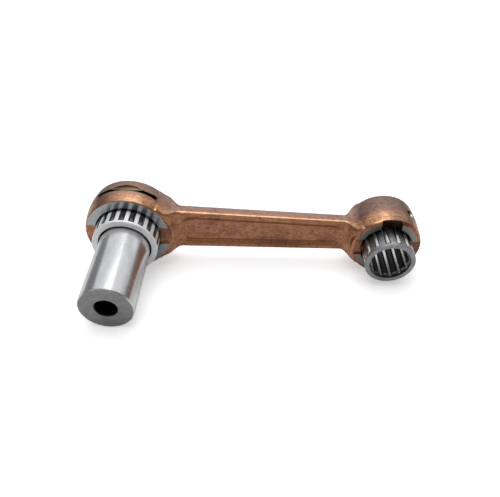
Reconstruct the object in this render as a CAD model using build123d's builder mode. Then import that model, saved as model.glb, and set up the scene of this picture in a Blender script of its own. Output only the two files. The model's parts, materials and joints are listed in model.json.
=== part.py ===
"""Connecting rod set for a small two-stroke engine.

A forged rod with an I-section shank, its crank pin, and the caged needle bearings of both eyes.
The set is laid out for inspection: the pin and both bearings are slid part of the way out of the rod.

Frame: the origin is the centre of the big-end bore, half way through its width. +X runs along the
rod to the small end, +Y runs along both bores away from the crank pin's free end, and +Z is up.
"""

from math import cos, pi, sin, sqrt
import os

from build123d import *

# ---------------------------------------------------------------- driving dimensions, in millimetres

CENTRE_DISTANCE = 105.0

# big end
BIG_BORE_R = 13.0
BIG_WIDTH = 14.0
BIG_THRUST_R = 16.8
BIG_EDGE_R = 17.2
BIG_CROWN_R = 17.9
BORE_CHAMFER = 0.5
BIG_GROOVE_WIDTH = 8.4
BIG_GROOVE_DEPTH = 0.7

# oil slot through the top of the big end, with a flat seat that a round cutter left behind it
SLOT_WIDTH = 1.5
SLOT_END_ANGLE = 37.0
SLOT_END_HOLE_R = 1.2
SEAT_HEIGHT = 16.7
SEAT_BACK_Y = 2.9
SEAT_CUTTER_R = 10.8

# small end
SMALL_BORE_R = 10.0
SMALL_WIDTH = 18.0
SMALL_THRUST_R = 12.6
SMALL_EDGE_R = 14.0
SMALL_CROWN_R = 14.4
SMALL_EDGE_ROUND = 1.6
SMALL_GROOVE_WIDTH = 8.0
SMALL_GROOVE_DEPTH = 1.0
# the groove that points at the shank stops this far from the bore's axis, before the neck
SMALL_GROOVE_REACH = 12.7
OIL_HOLE_R = 1.5
OIL_HOLE_CHAMFER = 0.7
OIL_HOLE_ANGLE = 50.0

# shank
SHANK_THICKNESS = 5.4
SHANK_HALF_HEIGHT_BIG = 9.75
SHANK_HALF_HEIGHT_SMALL = 7.2
SHANK_EDGE_ROUND = 1.2
BIG_NECK_FILLET = 13.0
SMALL_NECK_FILLET = 6.0
BIG_FLARE = (15.0, 21.0)
SMALL_FLARE = (88.0, 93.5)
BIG_NECK_RIM_R = 17.8
SMALL_NECK_RIM_R = 14.3
BIG_NECK_SPAN = (8.0, 25.0)
SMALL_NECK_SPAN = (85.0, 98.0)
NECK_STEPS = 16
NECK_STEP_DOWN = 0.2
RIM_CHAMFER = 0.4
POCKET_DEPTH = 1.3
POCKET_DRAFT_RUN = 2.0
POCKET_LEAD = 0.4
POCKET_FLANGE = 2.1
POCKET_ENDS = (21.0, 88.0)
POCKET_CORNER_R = 3.5
POCKET_CORNER_SHRINK = 0.75

# how far a cutting tool runs past the surface it cuts
OVERRUN = 1.0

# crank pin
PIN_R = 10.0
PIN_BORE_R = 4.0
PIN_LENGTH = 52.0
PIN_FRONT_Y = -46.6
PIN_CHAMFER = 0.4

# needles stand this far off the surfaces they roll on
ROLLING_GAP = 0.02

# big-end bearing
BIG_ROLLERS = 21
BIG_ROLLER_R = 1.5 - ROLLING_GAP
BIG_PITCH_R = 11.5
BIG_CAGE_OUTER_R = 12.85
BIG_CAGE_INNER_R = 10.5
BIG_BAR_INNER_R = 10.9
BIG_CAGE_LENGTH = 13.8
BIG_CAGE_FRONT_Y = -14.4
BIG_CAGE_RING = 1.1
BIG_WINDOW_WIDTH = 2.3

# small-end bearing
SMALL_NEEDLES = 14
SMALL_NEEDLE_R = 1.0 - ROLLING_GAP
SMALL_PITCH_R = 9.0
SMALL_CAGE_OUTER_R = 9.82
SMALL_CAGE_WAIST_R = 9.35
SMALL_CAGE_INNER_R = 8.05
SMALL_CAGE_RELIEF_R = 8.7
SMALL_CAGE_LENGTH = 20.0
SMALL_CAGE_FRONT_Y = -18.1
SMALL_CAGE_RING = 1.2
SMALL_CAGE_RIM = 2.2
SMALL_CAGE_SLOPE = 0.6
SMALL_NEEDLE_TURN = 79.3

# clearance between a roller and its window
WINDOW_SIDE_GAP = 0.06
WINDOW_END_GAP = 0.1
CAGE_CHAMFER = 0.2
NEEDLE_CHAMFER = 0.15

# ---------------------------------------------------------------- shared planes

big_half = BIG_WIDTH / 2
small_half = SMALL_WIDTH / 2
shank_half = SHANK_THICKNESS / 2

# a sketch on this plane is drawn in X and Z, and extruding it by +h takes it to y = -h
side_plane = Plane.XZ
small_end_plane = Plane(origin=(CENTRE_DISTANCE, 0, 0), x_dir=(1, 0, 0), z_dir=(0, -1, 0))


def radial_point(angle, radius):
    """Sketch coordinates of a point at the given angle and distance from a bore's axis."""
    turn = angle * pi / 180
    return radius * cos(turn), radius * sin(turn)


def radial_plane(angle, centre_x=0.0):
    """A plane through a bore's axis whose normal points away from it at the given angle from +X."""
    turn = angle * pi / 180
    return Plane(origin=(centre_x, 0, 0), x_dir=(0, 1, 0), z_dir=(cos(turn), 0, sin(turn)))


os.makedirs("parts", exist_ok=True)

# ---------------------------------------------------------------- rod


def ease(share):
    """A smooth step from 0 to 1."""
    return (1 - cos(pi * min(max(share, 0), 1))) / 2


def line_half_height(x):
    """Half the height of the tapering straight shank at x."""
    share = x / CENTRE_DISTANCE
    return SHANK_HALF_HEIGHT_BIG + (SHANK_HALF_HEIGHT_SMALL - SHANK_HALF_HEIGHT_BIG) * share


def neck_half_height(x, centre_x, eye_r, neck_r):
    """Half the height where an arc of radius neck_r runs from the shank's edge onto the eye's rim."""
    edge = line_half_height(x)
    arc_z = edge + neck_r
    arc_x = sqrt((eye_r + neck_r) ** 2 - arc_z**2)
    from_eye = abs(x - centre_x)
    touch = arc_x * eye_r / (eye_r + neck_r)
    if from_eye >= arc_x:
        return edge
    return arc_z - sqrt(neck_r**2 - (arc_x - max(from_eye, touch)) ** 2)


def stations(span):
    """Evenly spaced positions along the rod for the sections of a neck."""
    return [span[0] + (span[1] - span[0]) * index / NECK_STEPS for index in range(NECK_STEPS + 1)]


with BuildPart() as rod:
    # neck of the big end: rounded sections that widen and thicken towards the eye
    for x in stations(BIG_NECK_SPAN):
        share = (x - BIG_FLARE[1]) / (BIG_FLARE[0] - BIG_FLARE[1])
        half_thickness = shank_half + (big_half - NECK_STEP_DOWN - shank_half) * ease(share)
        half_height = neck_half_height(x, 0, BIG_NECK_RIM_R, BIG_NECK_FILLET)
        with BuildSketch(Plane.YZ.offset(x)):
            RectangleRounded(2 * half_thickness, 2 * half_height, SHANK_EDGE_ROUND)
    loft()

    # straight shank
    for x in (BIG_NECK_SPAN[1], SMALL_NECK_SPAN[0]):
        with BuildSketch(Plane.YZ.offset(x)):
            RectangleRounded(SHANK_THICKNESS, 2 * line_half_height(x), SHANK_EDGE_ROUND)
    loft(ruled=True)

    # neck of the small end
    for x in stations(SMALL_NECK_SPAN):
        share = (x - SMALL_FLARE[0]) / (SMALL_FLARE[1] - SMALL_FLARE[0])
        half_thickness = shank_half + (small_half - NECK_STEP_DOWN - shank_half) * ease(share)
        half_height = neck_half_height(x, CENTRE_DISTANCE, SMALL_NECK_RIM_R, SMALL_NECK_FILLET)
        with BuildSketch(Plane.YZ.offset(x)):
            RectangleRounded(2 * half_thickness, 2 * half_height, SHANK_EDGE_ROUND)
    loft()

    # big-end eye: a crowned rim between two thrust faces
    with BuildSketch(Plane.XY):
        with BuildLine():
            rim_y = big_half - RIM_CHAMFER
            Line((0, -big_half), (0, big_half))
            for side in (-1, 1):
                Polyline((0, side * big_half), (BIG_THRUST_R, side * big_half), (BIG_EDGE_R, side * rim_y))
            ThreePointArc((BIG_EDGE_R, rim_y), (BIG_CROWN_R, 0), (BIG_EDGE_R, -rim_y))
        make_face()
    revolve(axis=Axis.Y)

    # small-end eye: barrel shaped, with rounded shoulders
    shoulder_y = small_half - SMALL_EDGE_ROUND
    with BuildSketch(Plane(origin=(CENTRE_DISTANCE, 0, 0))):
        with BuildLine():
            Line((0, -small_half), (0, small_half))
            for side in (-1, 1):
                Line((0, side * small_half), (SMALL_THRUST_R, side * small_half))
                TangentArc(
                    (SMALL_EDGE_R, side * shoulder_y),
                    (SMALL_THRUST_R, side * small_half),
                    tangent=(0, side),
                )
            ThreePointArc((SMALL_EDGE_R, -shoulder_y), (SMALL_CROWN_R, 0), (SMALL_EDGE_R, shoulder_y))
        make_face()
    revolve(axis=Axis((CENTRE_DISTANCE, 0, 0), (0, 1, 0)))

    # pockets that leave the I-section, with drafted walls that are cut from a little outside the shank
    for side in (-1, 1):
        for depth in (-POCKET_LEAD, POCKET_DEPTH):
            inset = depth * POCKET_DRAFT_RUN / POCKET_DEPTH
            left = POCKET_ENDS[0] + inset
            right = POCKET_ENDS[1] - inset
            left_z = line_half_height(left) - POCKET_FLANGE - inset
            right_z = line_half_height(right) - POCKET_FLANGE - inset
            face_y = side * (shank_half - depth)
            with BuildSketch(Plane(origin=(0, face_y, 0), x_dir=(1, 0, 0), z_dir=(0, -1, 0))):
                with BuildLine():
                    Polyline((left, -left_z), (right, -right_z), (right, right_z), (left, left_z), close=True)
                make_face()
                fillet(vertices(), POCKET_CORNER_R - inset * POCKET_CORNER_SHRINK)
        loft(ruled=True, mode=Mode.SUBTRACT)

    # bores
    with BuildSketch(side_plane):
        Circle(BIG_BORE_R)
        with Locations((CENTRE_DISTANCE, 0)):
            Circle(SMALL_BORE_R)
    extrude(amount=small_half, both=True, mode=Mode.SUBTRACT)
    mouths = [
        edge
        for edge in edges().filter_by(GeomType.CIRCLE)
        if round(edge.radius, 2) in (BIG_BORE_R, SMALL_BORE_R)
    ]
    chamfer(mouths, BORE_CHAMFER)

    # oil grooves across the thrust faces: two at the big end, along the rod, and four at the small end
    for side in (-1, 1):
        with Locations((0, side * (big_half - BIG_GROOVE_DEPTH + OVERRUN), 0)):
            Box(2 * BIG_CROWN_R, 2 * OVERRUN, BIG_GROOVE_WIDTH, mode=Mode.SUBTRACT)
        with Locations((CENTRE_DISTANCE, side * (small_half - SMALL_GROOVE_DEPTH + OVERRUN), 0)):
            Box(SMALL_GROOVE_WIDTH, 2 * OVERRUN, 2 * SMALL_CROWN_R, mode=Mode.SUBTRACT)
        groove_length = SMALL_GROOVE_REACH + SMALL_CROWN_R
        groove_x = CENTRE_DISTANCE - SMALL_GROOVE_REACH + groove_length / 2
        with Locations((groove_x, side * (small_half - SMALL_GROOVE_DEPTH + OVERRUN), 0)):
            Box(groove_length, 2 * OVERRUN, SMALL_GROOVE_WIDTH, mode=Mode.SUBTRACT)

    # milled seat on top of the big end, and the oil slot that runs round the rim in front of it
    with BuildSketch(Plane.XY.offset(SEAT_HEIGHT)):
        with Locations((0, SEAT_BACK_Y - SEAT_CUTTER_R)):
            Circle(SEAT_CUTTER_R)
        with Locations((0, -SEAT_CUTTER_R)):
            Rectangle(2 * SEAT_CUTTER_R, 2 * SEAT_CUTTER_R, mode=Mode.SUBTRACT)
    extrude(amount=BIG_CROWN_R, mode=Mode.SUBTRACT)
    with BuildSketch(side_plane):
        with BuildLine():
            slot_from = 90 - SLOT_END_ANGLE
            inner = CenterArc((0, 0), BIG_BORE_R - OVERRUN, slot_from, 2 * SLOT_END_ANGLE)
            outer = CenterArc((0, 0), BIG_CROWN_R + OVERRUN, slot_from, 2 * SLOT_END_ANGLE)
            Line(inner @ 0, outer @ 0)
            Line(inner @ 1, outer @ 1)
        make_face()
    extrude(amount=SLOT_WIDTH / 2, both=True, mode=Mode.SUBTRACT)
    for angle in (90 - SLOT_END_ANGLE, 90 + SLOT_END_ANGLE):
        with BuildSketch(radial_plane(angle)):
            Circle(SLOT_END_HOLE_R)
        extrude(amount=BIG_CROWN_R + OVERRUN, mode=Mode.SUBTRACT)

    # countersunk oil hole into the small-end bore
    with Locations(radial_plane(OIL_HOLE_ANGLE, CENTRE_DISTANCE).offset(SMALL_CROWN_R)):
        oil_hole_depth = SMALL_CROWN_R - SMALL_BORE_R + OVERRUN
        CounterSinkHole(OIL_HOLE_R, OIL_HOLE_R + OIL_HOLE_CHAMFER, depth=oil_hole_depth)

rod.part.label = "rod"
export_step(rod.part, "parts/rod.step")

# ---------------------------------------------------------------- crank pin

with BuildPart() as crank_pin:
    with BuildSketch(side_plane.offset(-PIN_FRONT_Y)):
        Circle(PIN_R)
        Circle(PIN_BORE_R, mode=Mode.SUBTRACT)
    extrude(amount=-PIN_LENGTH)
    chamfer(edges().filter_by(GeomType.CIRCLE), PIN_CHAMFER)

crank_pin.part.label = "crank_pin"
export_step(crank_pin.part, "parts/crank_pin.step")

# ---------------------------------------------------------------- big-end bearing

big_window_length = BIG_CAGE_LENGTH - 2 * BIG_CAGE_RING

with BuildPart() as big_end_cage:
    with BuildSketch(side_plane.offset(-BIG_CAGE_FRONT_Y)):
        Circle(BIG_CAGE_OUTER_R)
        Circle(BIG_CAGE_INNER_R, mode=Mode.SUBTRACT)
    extrude(amount=-BIG_CAGE_LENGTH)
    chamfer(edges().filter_by(GeomType.CIRCLE), CAGE_CHAMFER)
    # the bars are thinner than the end rings
    with BuildSketch(side_plane.offset(-BIG_CAGE_FRONT_Y - BIG_CAGE_RING)):
        Circle(BIG_BAR_INNER_R)
    extrude(amount=-big_window_length, mode=Mode.SUBTRACT)
    # windows: a round pocket for each roller, open to the outside through a narrower slot
    with BuildSketch(side_plane.offset(-BIG_CAGE_FRONT_Y - BIG_CAGE_RING)):
        with PolarLocations(BIG_PITCH_R, BIG_ROLLERS, start_angle=90):
            Circle(BIG_ROLLER_R + WINDOW_SIDE_GAP)
            with Locations((OVERRUN, 0)):
                Rectangle(2 * OVERRUN, BIG_WINDOW_WIDTH)
    extrude(amount=-big_window_length, mode=Mode.SUBTRACT)

big_end_cage.part.label = "big_end_cage"
export_step(big_end_cage.part, "parts/big_end_cage.step")

for index in range(1, BIG_ROLLERS + 1):
    angle = 90 + 360 / BIG_ROLLERS * (index - 1)
    front_y = BIG_CAGE_FRONT_Y + BIG_CAGE_RING + WINDOW_END_GAP
    with BuildPart() as roller:
        with BuildSketch(side_plane.offset(-front_y)):
            with Locations(radial_point(angle, BIG_PITCH_R)):
                Circle(BIG_ROLLER_R)
        extrude(amount=-(big_window_length - 2 * WINDOW_END_GAP))
        chamfer(roller.edges().filter_by(GeomType.CIRCLE), NEEDLE_CHAMFER)
    roller.part.label = f"big_end_roller_{index:02d}"
    export_step(roller.part, f"parts/big_end_roller_{index:02d}.step")

# ---------------------------------------------------------------- small-end bearing

small_window_length = SMALL_CAGE_LENGTH - 2 * SMALL_CAGE_RING

with BuildPart() as small_end_cage:
    # M-shaped wall: end rims that turn in, and a waist that dips towards the middles of the needles
    with BuildSketch(Plane(origin=(CENTRE_DISTANCE, SMALL_CAGE_FRONT_Y, 0))):
        with BuildLine():
            half_wall = [
                (SMALL_CAGE_INNER_R, 0),
                (SMALL_CAGE_OUTER_R, 0),
                (SMALL_CAGE_OUTER_R, SMALL_CAGE_RIM),
                (SMALL_CAGE_WAIST_R, SMALL_CAGE_RIM + SMALL_CAGE_SLOPE),
            ]
            inner_wall = [
                (SMALL_CAGE_INNER_R, SMALL_CAGE_RING),
                (SMALL_CAGE_RELIEF_R, SMALL_CAGE_RING),
                (SMALL_CAGE_RELIEF_R, SMALL_CAGE_RIM),
                (SMALL_CAGE_INNER_R, SMALL_CAGE_RIM + SMALL_CAGE_SLOPE),
            ]
            far_half_wall = [(r, SMALL_CAGE_LENGTH - y) for r, y in reversed(half_wall)]
            far_inner_wall = [(r, SMALL_CAGE_LENGTH - y) for r, y in inner_wall]
            Polyline(*half_wall, *far_half_wall, *far_inner_wall, *reversed(inner_wall), close=True)
        make_face()
    revolve(axis=Axis((CENTRE_DISTANCE, 0, 0), (0, 1, 0)))
    with BuildSketch(small_end_plane.offset(-SMALL_CAGE_FRONT_Y - SMALL_CAGE_RING)):
        with PolarLocations(SMALL_PITCH_R, SMALL_NEEDLES, start_angle=SMALL_NEEDLE_TURN):
            Rectangle(2 * (SMALL_NEEDLE_R + OVERRUN), 2 * (SMALL_NEEDLE_R + WINDOW_SIDE_GAP))
    extrude(amount=-small_window_length, mode=Mode.SUBTRACT)

small_end_cage.part.label = "small_end_cage"
export_step(small_end_cage.part, "parts/small_end_cage.step")

for index in range(1, SMALL_NEEDLES + 1):
    angle = SMALL_NEEDLE_TURN + 360 / SMALL_NEEDLES * (index - 1)
    front_y = SMALL_CAGE_FRONT_Y + SMALL_CAGE_RING + WINDOW_END_GAP
    with BuildPart() as needle:
        with BuildSketch(small_end_plane.offset(-front_y)):
            with Locations(radial_point(angle, SMALL_PITCH_R)):
                Circle(SMALL_NEEDLE_R)
        extrude(amount=-(small_window_length - 2 * WINDOW_END_GAP))
        chamfer(needle.edges().filter_by(GeomType.CIRCLE), NEEDLE_CHAMFER)
    needle.part.label = f"small_end_needle_{index:02d}"
    export_step(needle.part, f"parts/small_end_needle_{index:02d}.step")
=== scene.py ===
"""Looks, floor, lights and camera for the connecting rod set of a small two-stroke engine.

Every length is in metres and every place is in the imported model's own frame: the origin is the centre
of the big-end bore, +X runs along the rod, +Y along the bores away from the crank pin's free end, +Z up.
"""

import json
from math import cos, radians, sin

import bpy
from mathutils import Matrix, Vector


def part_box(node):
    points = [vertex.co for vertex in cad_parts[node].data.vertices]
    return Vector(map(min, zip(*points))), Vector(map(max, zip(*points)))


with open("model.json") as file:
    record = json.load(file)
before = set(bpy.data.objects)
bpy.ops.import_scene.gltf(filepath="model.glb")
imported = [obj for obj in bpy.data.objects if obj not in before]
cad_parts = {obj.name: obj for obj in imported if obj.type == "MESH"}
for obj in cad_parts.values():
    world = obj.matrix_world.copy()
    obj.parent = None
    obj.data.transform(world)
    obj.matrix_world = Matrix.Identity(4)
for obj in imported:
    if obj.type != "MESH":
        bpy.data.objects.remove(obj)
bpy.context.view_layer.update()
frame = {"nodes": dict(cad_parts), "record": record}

MM = 0.001
nodes = frame["nodes"]
scene = bpy.context.scene

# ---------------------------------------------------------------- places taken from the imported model

rod_low, rod_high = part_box("rod")
small_cage_low, small_cage_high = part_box("small_end_cage")

small_centre_x = (small_cage_low.x + small_cage_high.x) / 2
mounts = {mount["name"]: mount for mount in frame["record"]["mounts"]}
big_front_y = mounts["big_end_thrust_face"]["pos_m"][1]
middle = Vector(((rod_low.x + rod_high.x) / 2, rod_low.y, 0))

# ---------------------------------------------------------------- a short way to write node trees


class Tree:
    """Adds nodes to a material or world and links them as they are made."""

    def __init__(self, owner):
        owner.use_nodes = True
        self.nodes = owner.node_tree.nodes
        self.links = owner.node_tree.links
        self.nodes.clear()

    def add(self, kind, inputs=None, **settings):
        node = self.nodes.new(kind)
        for name, value in settings.items():
            setattr(node, name, value)
        for name, value in (inputs or {}).items():
            if isinstance(value, bpy.types.NodeSocket):
                self.links.new(value, node.inputs[name])
            else:
                node.inputs[name].default_value = value
        return node

    def math(self, operation, a, b=0.0, c=0.0):
        return self.add("ShaderNodeMath", {0: a, 1: b, 2: c}, operation=operation).outputs[0]

    def vector(self, operation, a, b=(0, 0, 0), output=0):
        return self.add("ShaderNodeVectorMath", {0: a, 1: b}, operation=operation).outputs[output]

    def scaled(self, vector, factor):
        node = self.add("ShaderNodeVectorMath", {0: vector, "Scale": factor}, operation="SCALE")
        return node.outputs[0]

    def step(self, value, start, end):
        """0 up to start, 1 from end on, smooth between. Start may be above end."""
        node = self.add(
            "ShaderNodeMapRange",
            {"Value": value, "From Min": start, "From Max": end},
            interpolation_type="SMOOTHSTEP",
        )
        return node.outputs["Result"]

    def both(self, a, b):
        return self.math("MULTIPLY", a, b)

    def either(self, a, b):
        return self.math("MAXIMUM", a, b)

    def mix(self, factor, a, b):
        """Mixes two numbers or two colours."""
        colour = any(
            not isinstance(x, (int, float)) and (not hasattr(x, "type") or x.type == "RGBA")
            for x in (a, b)
        )
        kind = "RGBA" if colour else "FLOAT"
        node = self.add("ShaderNodeMix", data_type=kind)
        slots = {"RGBA": (6, 7, 2), "FLOAT": (2, 3, 0)}[kind]
        for index, value in ((0, factor), (slots[0], a), (slots[1], b)):
            if isinstance(value, bpy.types.NodeSocket):
                self.links.new(value, node.inputs[index])
            elif colour and index:
                node.inputs[index].default_value = (*value, 1)
            else:
                node.inputs[index].default_value = value
        return node.outputs[slots[2]]

    def noise(self, where, scale, detail=3.0, roughness=0.55, distortion=0.0):
        node = self.add(
            "ShaderNodeTexNoise",
            {
                "Vector": where,
                "Scale": scale,
                "Detail": detail,
                "Roughness": roughness,
                "Distortion": distortion,
            },
        )
        return node.outputs["Fac"]

    def bump(self, height, strength, distance, normal=None):
        inputs = {"Height": height, "Strength": strength, "Distance": distance}
        if normal is not None:
            inputs["Normal"] = normal
        return self.add("ShaderNodeBump", inputs).outputs["Normal"]


class Metal(Tree):
    """A metal's material, with the object's own coordinates in millimetres ready to use."""

    def __init__(self, name):
        material = bpy.data.materials.new(name)
        super().__init__(material)
        self.material = material
        coordinates = self.add("ShaderNodeTexCoord")
        self.place = self.scaled(coordinates.outputs["Object"], 1 / MM)
        split = self.add("ShaderNodeSeparateXYZ", {0: self.place})
        self.x, self.y, self.z = split.outputs
        normal = self.add("ShaderNodeSeparateXYZ", {0: coordinates.outputs["Normal"]})
        self.nz = normal.outputs["Z"]
        self.facing_y = self.math("ABSOLUTE", normal.outputs["Y"])

    def from_axis(self, centre_x=0.0):
        """Distance from an axis along Y through (centre_x, z=0), in millimetres."""
        across = self.math("SUBTRACT", self.x, centre_x)
        squares = self.math("MULTIPLY_ADD", across, across, self.both(self.z, self.z))
        return self.math("SQRT", squares)

    def rings(self, radius, scale, stretch):
        """Noise drawn out around an axis, as grinding and turning leave it."""
        where = {"X": radius, "Y": self.both(self.y, stretch)}
        where = self.add("ShaderNodeCombineXYZ", where).outputs[0]
        return self.noise(where, scale, detail=4.0)

    def finish(self, colour, roughness, normal, metallic=1.0):
        inputs = {
            "Base Color": colour,
            "Roughness": roughness,
            "Normal": normal,
            "Metallic": metallic,
        }
        shader = self.add("ShaderNodeBsdfPrincipled", inputs)
        self.add("ShaderNodeOutputMaterial", {"Surface": shader.outputs[0]})
        return self.material


# ---------------------------------------------------------------- copper-plated forging with ground faces

# places on the rod in millimetres: _R from an eye's axis, _DEPTH from the middle plane, _Z up
BIG_FACE_DEPTH = 6.9
SMALL_FACE_DEPTH = 8.9
FACE_BLEND = 0.05
BIG_RIM_FROM_R = 15.5
BIG_RIM_TO_R = 16.5
BIG_EYE_R = 17.0
BIG_EYE_CLEAR_R = 19.0
SMALL_EYE_R = 13.5
SMALL_EYE_CLEAR_R = 15.0
UPPER_SHADE_DEPTH = 2.3
LOWER_FOOT_SHADE_DEPTH = 1.45
POCKET_BLEND = 0.3
BORE_TOP_Z = 8.0
# where the painted shade along the slot runs
SLOT_SHADE_LOW_Z = 13.2
SLOT_SHADE_FULL_Z = 13.8
SLOT_SHADE_OUTER_R = 18.5
GROOVE_DARKEST_R = 11.5
BIG_THRUST_R = 16.82
BIG_BORE_SIDE_R = 13.4
SMALL_THRUST_R = 12.7
SMALL_BORE_SIDE_R = 10.4
SLOT_HALF = 0.76
SLOT_HOLE_ANGLE = radians(53)
SLOT_HOLE_R = 1.25
SEAT_Z = 16.7
SLOT_SHADE_HALF = 1.3
GROOVE_FLOOR_Y = 8.0
OIL_HOLE_ANGLE = radians(50)
OIL_HOLE_R = 1.52
OIL_MOUTH_R = 2.3
SMALL_RIM_R = 14.3

GOLD = (0.80, 0.43, 0.21)
COPPER = (0.49, 0.235, 0.140)
RUST = (0.37, 0.150, 0.085)
ORANGE = (0.38, 0.145, 0.065)
MAUVE = (0.37, 0.245, 0.200)
PLUM = (0.20, 0.135, 0.120)
UMBER = (0.10, 0.050, 0.034)
# near-black used for painted shade
SHADE_BLACK = (0.02, 0.017, 0.015)
OLIVE = (0.30, 0.25, 0.13)
BRASSY = (0.56, 0.50, 0.30)
BARE_STEEL_GLINT = (0.42, 0.43, 0.43)
GROUND_STEEL = (0.42, 0.44, 0.45)
GROUND_GREY = (0.30, 0.30, 0.30)


def copper_forging():
    m = Metal("copper_plated_forging_looks")
    small_x = small_centre_x / MM
    big_r = m.from_axis()
    small_r = m.from_axis(small_x)
    depth = m.math("ABSOLUTE", m.y)
    flat = m.step(m.facing_y, 0.97, 0.99)

    # where the plating has been ground or bored away
    big_face = m.step(big_r, BIG_THRUST_R + 0.03, BIG_THRUST_R)
    big_face = m.both(big_face, m.step(depth, BIG_FACE_DEPTH, BIG_FACE_DEPTH + FACE_BLEND))
    small_face = m.step(small_r, SMALL_THRUST_R + 0.03, SMALL_THRUST_R)
    small_face = m.both(small_face, m.step(depth, SMALL_FACE_DEPTH, SMALL_FACE_DEPTH + FACE_BLEND))
    big_bore = m.step(big_r, BIG_BORE_SIDE_R + 0.05, BIG_BORE_SIDE_R)
    small_bore = m.step(small_r, SMALL_BORE_SIDE_R + 0.05, SMALL_BORE_SIDE_R)
    bores = m.both(m.either(big_bore, small_bore), m.step(flat, 1.0, 0.5))
    big_ground = m.both(big_face, flat)
    small_ground = m.both(small_face, flat)
    ground = m.either(m.either(big_ground, small_ground), bores)

    # noises from broad clouds down to the grain of the forging
    cloud = m.noise(m.place, 0.09, detail=4.0)
    mottle = m.noise(m.place, 0.45, detail=5.0, roughness=0.65, distortion=0.4)
    grain = m.noise(m.place, 2.6, detail=4.0, roughness=0.7)
    streak = m.noise(m.vector("MULTIPLY", m.place, (0.12, 1.0, 1.0)), 1.1, detail=4.0)

    # the plating: copper and rust on the sides, and a mauve painted sheen where it faces up or lies
    # towards the back
    tone = m.math("MULTIPLY_ADD", mottle, 0.6, m.both(streak, 0.4))
    plating = m.mix(m.step(tone, 0.40, 0.60), RUST, COPPER)
    flecks = m.step(m.noise(m.vector("MULTIPLY", m.place, (0.5, 1.0, 1.0)), 1.7, detail=4.0), 0.55, 0.72)
    plating = m.mix(m.both(flecks, 0.5), plating, GOLD)
    back_rim = m.both(m.step(big_r, BIG_RIM_FROM_R, BIG_RIM_TO_R), m.step(m.facing_y, 0.6, 0.3))
    painted_sheen = m.either(m.both(back_rim, m.step(m.y, -3.0, 2.0)), m.both(m.step(m.nz, 0.75, 0.98), 0.8))
    plating = m.mix(m.both(painted_sheen, m.step(mottle, 0.2, 0.5)), plating, MAUVE)
    small_back = m.both(m.step(small_r, 15.5, 13.5), m.step(m.y, -6.5, 0.0))
    plating = m.mix(m.both(small_back, m.math("MULTIPLY_ADD", cloud, 0.5, 0.35)), plating, PLUM)

    # the shank's edges, most of all its upper ones, and the eyes' front rims are golden: plating rubbed
    # through, with a painted highlight where the rounded edges catch the light
    upward = m.math("ABSOLUTE", m.nz)
    past_big_eye = m.step(big_r, BIG_EYE_R, BIG_EYE_CLEAR_R)
    between = m.both(past_big_eye, m.step(small_r, SMALL_EYE_R, SMALL_EYE_CLEAR_R))
    shank_edge = m.both(m.both(m.step(upward, 0.2, 0.5), m.step(m.facing_y, 0.1, 0.45)), between)
    shank_edge = m.both(shank_edge, m.mix(m.step(m.z, -3.0, 1.0), 0.3, 1.0))
    front_rim = m.both(m.step(m.y, -0.5, -4.5), m.step(m.facing_y, 0.98, 0.5))
    rubbed_and_highlit = m.either(shank_edge, m.both(front_rim, m.both(m.step(streak, 0.3, 0.6), 0.8)))
    rubbed_and_highlit = m.both(rubbed_and_highlit, m.step(mottle, 0.2, 0.5))
    plating = m.mix(m.both(rubbed_and_highlit, 0.85), plating, GOLD)

    # dark spots and clouds of tarnish; painted shade on the pocket's upper wall, on its lower wall and
    # that wall's foot, and on the grooves' floors
    specks = m.step(m.noise(m.place, 0.95, detail=2.0), 0.64, 0.70)
    blotches = m.step(m.noise(m.place, 0.7, detail=5.0, roughness=0.75, distortion=0.5), 0.47, 0.62)
    tarnish = m.both(m.step(cloud, 0.48, 0.7), 0.4)
    upper_wall = m.both(m.step(m.nz, -0.1, -0.4), between)
    near_web = m.step(depth, UPPER_SHADE_DEPTH + POCKET_BLEND, UPPER_SHADE_DEPTH)
    upper_shade = m.both(upper_wall, near_web)
    lower_wall = m.both(m.both(m.step(m.nz, 0.1, 0.4), m.step(m.z, 0.0, -1.0)), between)
    near_web = m.step(depth, LOWER_FOOT_SHADE_DEPTH + POCKET_BLEND, LOWER_FOOT_SHADE_DEPTH)
    lower_foot_shade = m.both(lower_wall, near_web)
    # painted shade on the small end's groove floors, away from its left side, near-black in the top
    # groove and deepest next to the bearing
    groove_floor = m.both(m.step(depth, GROOVE_FLOOR_Y + 0.05, GROOVE_FLOOR_Y + 0.02), flat)
    groove_floor = m.both(groove_floor, m.step(small_r, SMALL_RIM_R, SMALL_RIM_R - 0.5))
    groove_floor = m.both(groove_floor, m.step(m.x, small_x - 9.0, small_x - 7.0))
    top_groove = m.both(groove_floor, m.step(m.z, 6.0, 8.0))
    near_bearing = m.step(small_r, SMALL_RIM_R, GROOVE_DARKEST_R)
    top_groove_shade = m.math("MULTIPLY_ADD", mottle, 0.4, m.mix(near_bearing, 0.3, 0.75))
    # painted shade: the pocket's lower wall darkened to orange, its foot and its upper wall to umber
    plating = m.mix(m.both(lower_wall, 0.7), plating, ORANGE)
    plating = m.mix(tarnish, plating, UMBER)
    plating = m.mix(m.both(lower_foot_shade, 0.45), plating, UMBER)
    plating = m.mix(m.both(upper_shade, 0.35), plating, UMBER)
    plating = m.mix(m.both(groove_floor, 0.6), plating, UMBER)
    plating = m.mix(m.both(top_groove, top_groove_shade), plating, SHADE_BLACK)
    plating = m.mix(m.both(blotches, 0.38), plating, UMBER)
    plating = m.mix(m.both(specks, 0.7), plating, UMBER)
    plating = m.mix(m.both(m.step(grain, 0.54, 0.74), 0.5), plating, UMBER)
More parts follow.
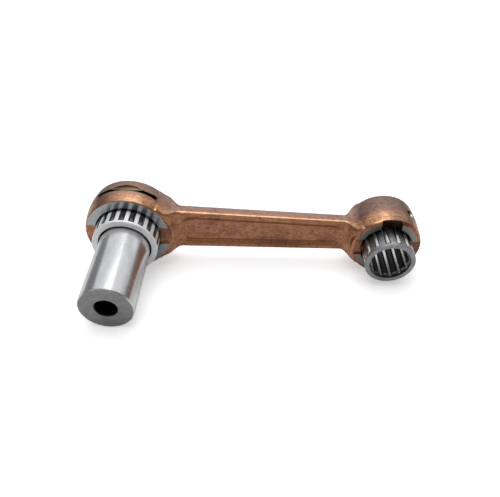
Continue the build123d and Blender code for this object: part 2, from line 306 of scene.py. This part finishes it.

    # the milled seat, painted shade along the slot and on the walls of the slot, of its end holes and of
    # the small end's oil hole, and a painted glint in the oil hole's countersink
    seat_top = m.both(m.step(m.nz, 0.98, 0.995), m.step(m.z, SEAT_Z - 0.05, SEAT_Z - 0.02))
    seat = m.both(seat_top, m.step(m.z, SEAT_Z + 0.1, SEAT_Z + 0.05))
    # the seat is brassy, with painted shade turning it olive towards the left
    seat_tone = m.mix(m.step(m.x, -5.0, 4.0), OLIVE, BRASSY)
    plating = m.mix(seat, plating, seat_tone)
    # painted shade in a strip along both edges of the slot on the big end's rim
    slot_shade = m.both(m.step(depth, SLOT_SHADE_HALF, SLOT_HALF), m.step(m.z, SLOT_SHADE_LOW_Z, SLOT_SHADE_FULL_Z))
    on_rim = m.step(big_r, BIG_RIM_FROM_R, BIG_RIM_FROM_R + 0.5)
    on_rim = m.both(on_rim, m.step(big_r, SLOT_SHADE_OUTER_R, SLOT_SHADE_OUTER_R - 0.5))
    slot_shade = m.both(slot_shade, on_rim)
    plating = m.mix(m.both(slot_shade, 0.95), plating, SHADE_BLACK)
    slot_wall = m.both(m.step(depth, SLOT_HALF + 0.05, SLOT_HALF), m.step(m.facing_y, 0.6, 0.9))
    slot_wall = m.both(slot_wall, m.step(m.z, BORE_TOP_Z, BORE_TOP_Z + 0.5))
    slot_across = m.math("MULTIPLY", m.z, -cos(SLOT_HOLE_ANGLE))
    slot_across = m.math("MULTIPLY_ADD", m.math("ABSOLUTE", m.x), sin(SLOT_HOLE_ANGLE), slot_across)
    slot_off = m.math("SQRT", m.math("MULTIPLY_ADD", slot_across, slot_across, m.both(m.y, m.y)))
    slot_hole = m.step(slot_off, SLOT_HOLE_R + 0.03, SLOT_HOLE_R)
    slot_hole = m.both(slot_hole, m.step(m.z, BORE_TOP_Z, BORE_TOP_Z + 0.5))
    beside = m.math("SUBTRACT", m.x, small_x)
    oil_across = m.math("MULTIPLY", m.z, -cos(OIL_HOLE_ANGLE))
    oil_across = m.math("MULTIPLY_ADD", beside, sin(OIL_HOLE_ANGLE), oil_across)
    oil_off = m.math("SQRT", m.math("MULTIPLY_ADD", oil_across, oil_across, m.both(m.y, m.y)))
    on_oil_side = m.both(m.step(m.z, 4.0, 5.0), m.step(beside, 2.0, 3.0))
    oil_hole = m.both(m.step(oil_off, OIL_HOLE_R + 0.03, OIL_HOLE_R), on_oil_side)
    oil_mouth = m.both(m.step(oil_off, OIL_MOUTH_R, OIL_MOUTH_R - 0.1), on_oil_side)
    countersunk = m.both(oil_mouth, m.step(small_r, SMALL_RIM_R, SMALL_RIM_R - 0.05))
    # the countersink's bare steel shows only as a painted glint on its lower right, with painted shade on
    # its other side
    countersink_glint_and_shade = m.mix(m.step(oil_across, 0.4, 1.2), UMBER, BARE_STEEL_GLINT)
    plating = m.mix(countersunk, plating, countersink_glint_and_shade)
    # painted shade: near-black on the walls of the slot, of its end holes and of the oil hole
    dark = m.either(m.either(slot_wall, slot_hole), oil_hole)

    steel = m.mix(m.step(mottle, 0.3, 0.7), GROUND_STEEL, (0.36, 0.38, 0.40))
    steel = m.mix(small_ground, steel, GROUND_GREY)
    colour = m.mix(ground, plating, steel)
    colour = m.mix(dark, colour, SHADE_BLACK)

    rough_copper = m.math("MULTIPLY_ADD", grain, 0.24, 0.27)
    rough_copper = m.math("ADD", rough_copper, m.both(specks, 0.2))
    rough_copper = m.mix(rubbed_and_highlit, rough_copper, m.math("MULTIPLY_ADD", grain, 0.15, 0.22))
    rough_steel = m.mix(small_ground, 0.2, 0.42)
    scratches = m.rings(m.either(m.both(big_ground, big_r), m.both(small_ground, small_r)), 4.0, 0.01)
    rough_steel = m.math("MULTIPLY_ADD", scratches, 0.12, rough_steel)
    roughness = m.mix(ground, rough_copper, rough_steel)

    forged = m.math("MULTIPLY_ADD", mottle, 1.0, m.both(grain, 0.7))
    height = m.mix(ground, forged, m.both(scratches, 0.15))
    rounded = m.add("ShaderNodeBevel", {"Radius": 0.25 * MM}, samples=6).outputs[0]
    normal = m.bump(height, 0.35, 0.12 * MM, rounded)
    return m.finish(colour, roughness, normal)


# ---------------------------------------------------------------- ground crank pin

PIN_BORE_SIDE_R = 4.5


def ground_pin():
    m = Metal("ground_pin_looks")
    radius = m.from_axis()
    end_face = m.step(m.facing_y, 0.9, 0.98)
    bore = m.step(radius, PIN_BORE_SIDE_R, PIN_BORE_SIDE_R - 0.35)
    around = m.rings(m.y, 5.0, 0.0)
    smear = m.noise(m.vector("MULTIPLY", m.place, (1.0, 0.25, 1.0)), 0.5, detail=4.0)
    turned = m.rings(radius, 6.0, 0.0)

    side = m.mix(m.step(smear, 0.3, 0.7), (0.73, 0.73, 0.73), (0.60, 0.61, 0.62))
    face = m.mix(m.step(smear, 0.35, 0.65), (0.30, 0.30, 0.30), (0.25, 0.25, 0.25))
    colour = m.mix(end_face, side, face)
    # painted shade: near-black inside the pin's bore
    colour = m.mix(bore, colour, (0.04, 0.04, 0.04))

    side_rough = m.math("MULTIPLY_ADD", around, 0.08, m.math("MULTIPLY_ADD", smear, 0.10, 0.17))
    face_rough = m.math("MULTIPLY_ADD", turned, 0.15, 0.36)
    roughness = m.mix(m.either(end_face, bore), side_rough, face_rough)
    height = m.mix(end_face, around, turned)
    return m.finish(colour, roughness, m.bump(height, 0.08, 0.02 * MM))


# ---------------------------------------------------------------- bearing cages

# where each bearing is, in millimetres, and how far the painted shade reaches out along it from the rod's
# face
BIG_BEARING = {"centre_x": 0.0, "pitch_r": 11.5, "mouth_y": big_front_y / MM, "reach": 1.5}
SMALL_BEARING = {
    "centre_x": small_centre_x / MM,
    "pitch_r": 9.0,
    "mouth_y": rod_low.y / MM,
    "reach": 7.5,
}


# how dark the painted shade at the rod's mouth gets on the cages and on the rollers
SHADE_ON_CAGE = 0.85
SHADE_ON_ROLLERS = 0.6


def shade_at_mouth(m, colour, bearing, strength):
    """Paints shade on the outer side of a bearing's piece: darkens it in a band where it enters the rod.
    """
    mouth = bearing["mouth_y"]
    reach = bearing["reach"]
    pitch = bearing["pitch_r"]
    band = m.both(m.step(m.y, mouth - reach, mouth), m.step(m.y, mouth + reach, mouth))
    outside = m.step(m.from_axis(bearing["centre_x"]), pitch - 0.2, pitch + 0.3)
    return m.mix(m.both(m.both(band, outside), strength), colour, SHADE_BLACK)


def cage(name, bearing, light, dark, inside_shade, inside_r, rough, metallic):
    m = Metal(name)
    radius = m.from_axis(bearing["centre_x"])
    mottle = m.noise(m.place, 0.8, detail=4.0)
    turned = m.rings(radius, 5.0, 0.6)
    # painted shade: the cage's inner side takes a darker colour of its own
    shaded_inner = m.both(m.step(radius, inside_r + 0.05, inside_r), m.step(m.facing_y, 0.9, 0.5))
    colour = m.mix(m.step(mottle, 0.3, 0.7), light, dark)
    colour = shade_at_mouth(m, m.mix(shaded_inner, colour, inside_shade), bearing, SHADE_ON_CAGE)
    roughness = m.math("MULTIPLY_ADD", turned, 0.16, m.math("MULTIPLY_ADD", mottle, 0.1, rough))
    rounded = m.add("ShaderNodeBevel", {"Radius": 0.1 * MM}, samples=6).outputs[0]
    return m.finish(colour, roughness, m.bump(turned, 0.1, 0.02 * MM, rounded), metallic)


def bright_cage():
    return cage(
        "bright_cage_looks",
        BIG_BEARING,
        light=(0.98, 0.98, 0.97),
        dark=(0.92, 0.92, 0.92),
        inside_shade=(0.60, 0.60, 0.60),
        inside_r=10.6,
        rough=0.26,
        metallic=0.3,
    )


def grey_cage():
    return cage(
        "grey_cage_looks",
        SMALL_BEARING,
        light=(0.36, 0.36, 0.36),
        dark=(0.27, 0.27, 0.28),
        inside_shade=(0.04, 0.04, 0.04),
        inside_r=9.3,
        rough=0.32,
        metallic=0.9,
    )


# ---------------------------------------------------------------- needles


def rolled_steel(name, bearing, light, dark, rough):
    m = Metal(name)
    smear = m.noise(m.vector("MULTIPLY", m.place, (1.0, 0.3, 1.0)), 0.9, detail=3.0)
    lines = m.rings(m.y, 6.0, 0.0)
    colour = m.mix(m.step(smear, 0.3, 0.7), light, dark)
    colour = shade_at_mouth(m, colour, bearing, SHADE_ON_ROLLERS)
    roughness = m.math("MULTIPLY_ADD", smear, 0.1, m.math("MULTIPLY_ADD", lines, 0.06, rough))
    return m.finish(colour, roughness, m.bump(lines, 0.05, 0.01 * MM))


looks = {
    "rod": copper_forging(),
    "crank_pin": ground_pin(),
    "big_end_cage": bright_cage(),
    "small_end_cage": grey_cage(),
    # painted reflection: the polished big-end rollers are coloured dark steel for the dark surroundings
    # they reflect
    "big_end_roller": rolled_steel(
        "roller_looks", BIG_BEARING, light=(0.20, 0.20, 0.21), dark=(0.13, 0.13, 0.14), rough=0.05
    ),
    "small_end_needle": rolled_steel(
        "needle_looks", SMALL_BEARING, light=(0.74, 0.74, 0.74), dark=(0.62, 0.62, 0.63), rough=0.12
    ),
}
for name, node in nodes.items():
    kind = name if name in looks else name.rsplit("_", 1)[0]
    for slot in node.material_slots:
        slot.material = looks[kind]

# ---------------------------------------------------------------- floor

# The set leans on the pin's free end, the front of the big end and the small end, so the floor is the
# plane through those three. In front of the pin it curves away downwards, out of the way of low cameras.
FLOOR_HEIGHT = -17.2 * MM
FLOOR_RISE_FORWARD = 0.18
FLOOR_RISE_SIDEWAYS = 0.028
FLOOR_HALF = 3.0
CURVE_START = -0.06
CURVE_RATE = 3.0
CURVE_LENGTH = 0.12
FLOOR_STEPS = 24
# the floor is lit from below, like a light table, so that only the deepest shadows show on it
FLOOR_GLOW = 0.46
FAR_GLOW = 0.8
GLOW_FROM = 0.12
GLOW_TO = 0.26


def floor_height(x, y):
    height = FLOOR_HEIGHT - FLOOR_RISE_FORWARD * (y - big_front_y) + FLOOR_RISE_SIDEWAYS * x
    past = max(CURVE_START - y, 0)
    bent = min(past, CURVE_LENGTH)
    return height - CURVE_RATE * bent * (past - bent / 2)


def make_floor():
    near = [CURVE_START - CURVE_LENGTH * index / FLOOR_STEPS for index in range(FLOOR_STEPS + 1)]
    rows = [FLOOR_HALF, *near, -FLOOR_HALF]
    points = [(x, y, floor_height(x, y)) for y in rows for x in (-FLOOR_HALF, FLOOR_HALF)]
    faces = [(2 * i, 2 * i + 1, 2 * i + 3, 2 * i + 2) for i in range(len(rows) - 1)]
    mesh = bpy.data.meshes.new("floor")
    mesh.from_pydata(points, [], faces)
    mesh.flip_normals()
    for polygon in mesh.polygons:
        polygon.use_smooth = True
    floor = bpy.data.objects.new("floor", mesh)
    scene.collection.objects.link(floor)
    material = bpy.data.materials.new("pale_floor")
    tree = Tree(material)
    where = tree.add("ShaderNodeTexCoord").outputs["Object"]
    shade = tree.mix(tree.noise(where, 3.0), (0.86, 0.86, 0.86), (0.90, 0.90, 0.90))
    seen = tree.add("ShaderNodeLightPath").outputs["Is Camera Ray"]
    paper = tree.add("ShaderNodeBsdfDiffuse", {"Color": shade})
    away = tree.vector("SUBTRACT", where, tuple(middle))
    away = tree.vector("LENGTH", away, output="Value")
    glow = tree.math("MULTIPLY_ADD", tree.step(away, GLOW_FROM, GLOW_TO), FAR_GLOW, FLOOR_GLOW)
    glow = tree.add("ShaderNodeEmission", {"Color": (1, 1, 1, 1), "Strength": tree.both(seen, glow)})
    lit = tree.add("ShaderNodeAddShader", {0: paper.outputs[0], 1: glow.outputs[0]})
    tree.add("ShaderNodeOutputMaterial", {"Surface": lit.outputs[0]})
    mesh.materials.append(material)


make_floor()

# ---------------------------------------------------------------- lights

floor_up = Vector((-FLOOR_RISE_SIDEWAYS, FLOOR_RISE_FORWARD, 1)).normalized()


def softbox(name, direction, distance, width, height, watts):
    """A large soft panel that faces the object from the given direction."""
    light = bpy.data.lights.new(name, "AREA")
    light.shape = "RECTANGLE"
    light.size = width
    light.size_y = height
    light.energy = watts
    panel = bpy.data.objects.new(name, light)
    direction = Vector(direction).normalized()
    panel.location = middle + direction * distance
    panel.rotation_euler = direction.to_track_quat("Z", "Y").to_euler()
    panel.visible_camera = False
    scene.collection.objects.link(panel)


softbox("overhead", floor_up + Vector((-0.05, -0.05, 0)), 0.9, 1.0, 0.9, 6.8)
softbox("behind", (0.05, 1.0, 0.64), 1.0, 1.9, 0.85, 3.6)
softbox("front", (-0.35, -1.0, 0.55), 1.1, 1.6, 0.8, 1.1)

world = bpy.data.worlds.new("studio")
scene.world = world
sky = Tree(world)
direction = sky.add("ShaderNodeTexCoord").outputs["Generated"]
up = sky.add("ShaderNodeSeparateXYZ", {0: direction}).outputs["Z"]
shade = sky.mix(sky.step(up, -0.05, 0.6), (0.26, 0.26, 0.27), (0.13, 0.13, 0.14))
seen = sky.add("ShaderNodeLightPath").outputs["Is Camera Ray"]
shade = sky.mix(seen, shade, (1.0, 1.0, 1.0))
background = sky.add("ShaderNodeBackground", {"Color": shade})
sky.add("ShaderNodeOutputWorld", {"Surface": background.outputs[0]})

scene.view_settings.view_transform = "Standard"

# ---------------------------------------------------------------- camera

CAMERA_PLACE = Vector((47.35, -158.37, 132.50)) * MM
CAMERA_DOWN = radians(42.23)
CAMERA_YAW = radians(0.92)
CAMERA_ROLL = radians(-2.83)
LENS = 35.44
CLIP_NEAR = 0.01
CLIP_FAR = 20.0

level = cos(CAMERA_DOWN)
ahead = Vector((sin(CAMERA_YAW) * level, cos(CAMERA_YAW) * level, -sin(CAMERA_DOWN)))
level_right = Vector((cos(CAMERA_YAW), -sin(CAMERA_YAW), 0))
level_down = ahead.cross(level_right)
right = level_right * cos(CAMERA_ROLL) + level_down * sin(CAMERA_ROLL)
down = level_down * cos(CAMERA_ROLL) - level_right * sin(CAMERA_ROLL)

camera = bpy.data.objects.new("camera", bpy.data.cameras.new("camera"))
camera.data.lens = LENS
camera.data.clip_start = CLIP_NEAR
camera.data.clip_end = CLIP_FAR
turned = Matrix((right, -down, -ahead)).transposed().to_4x4()
camera.matrix_world = Matrix.Translation(CAMERA_PLACE) @ turned
scene.collection.objects.link(camera)
scene.camera = camera
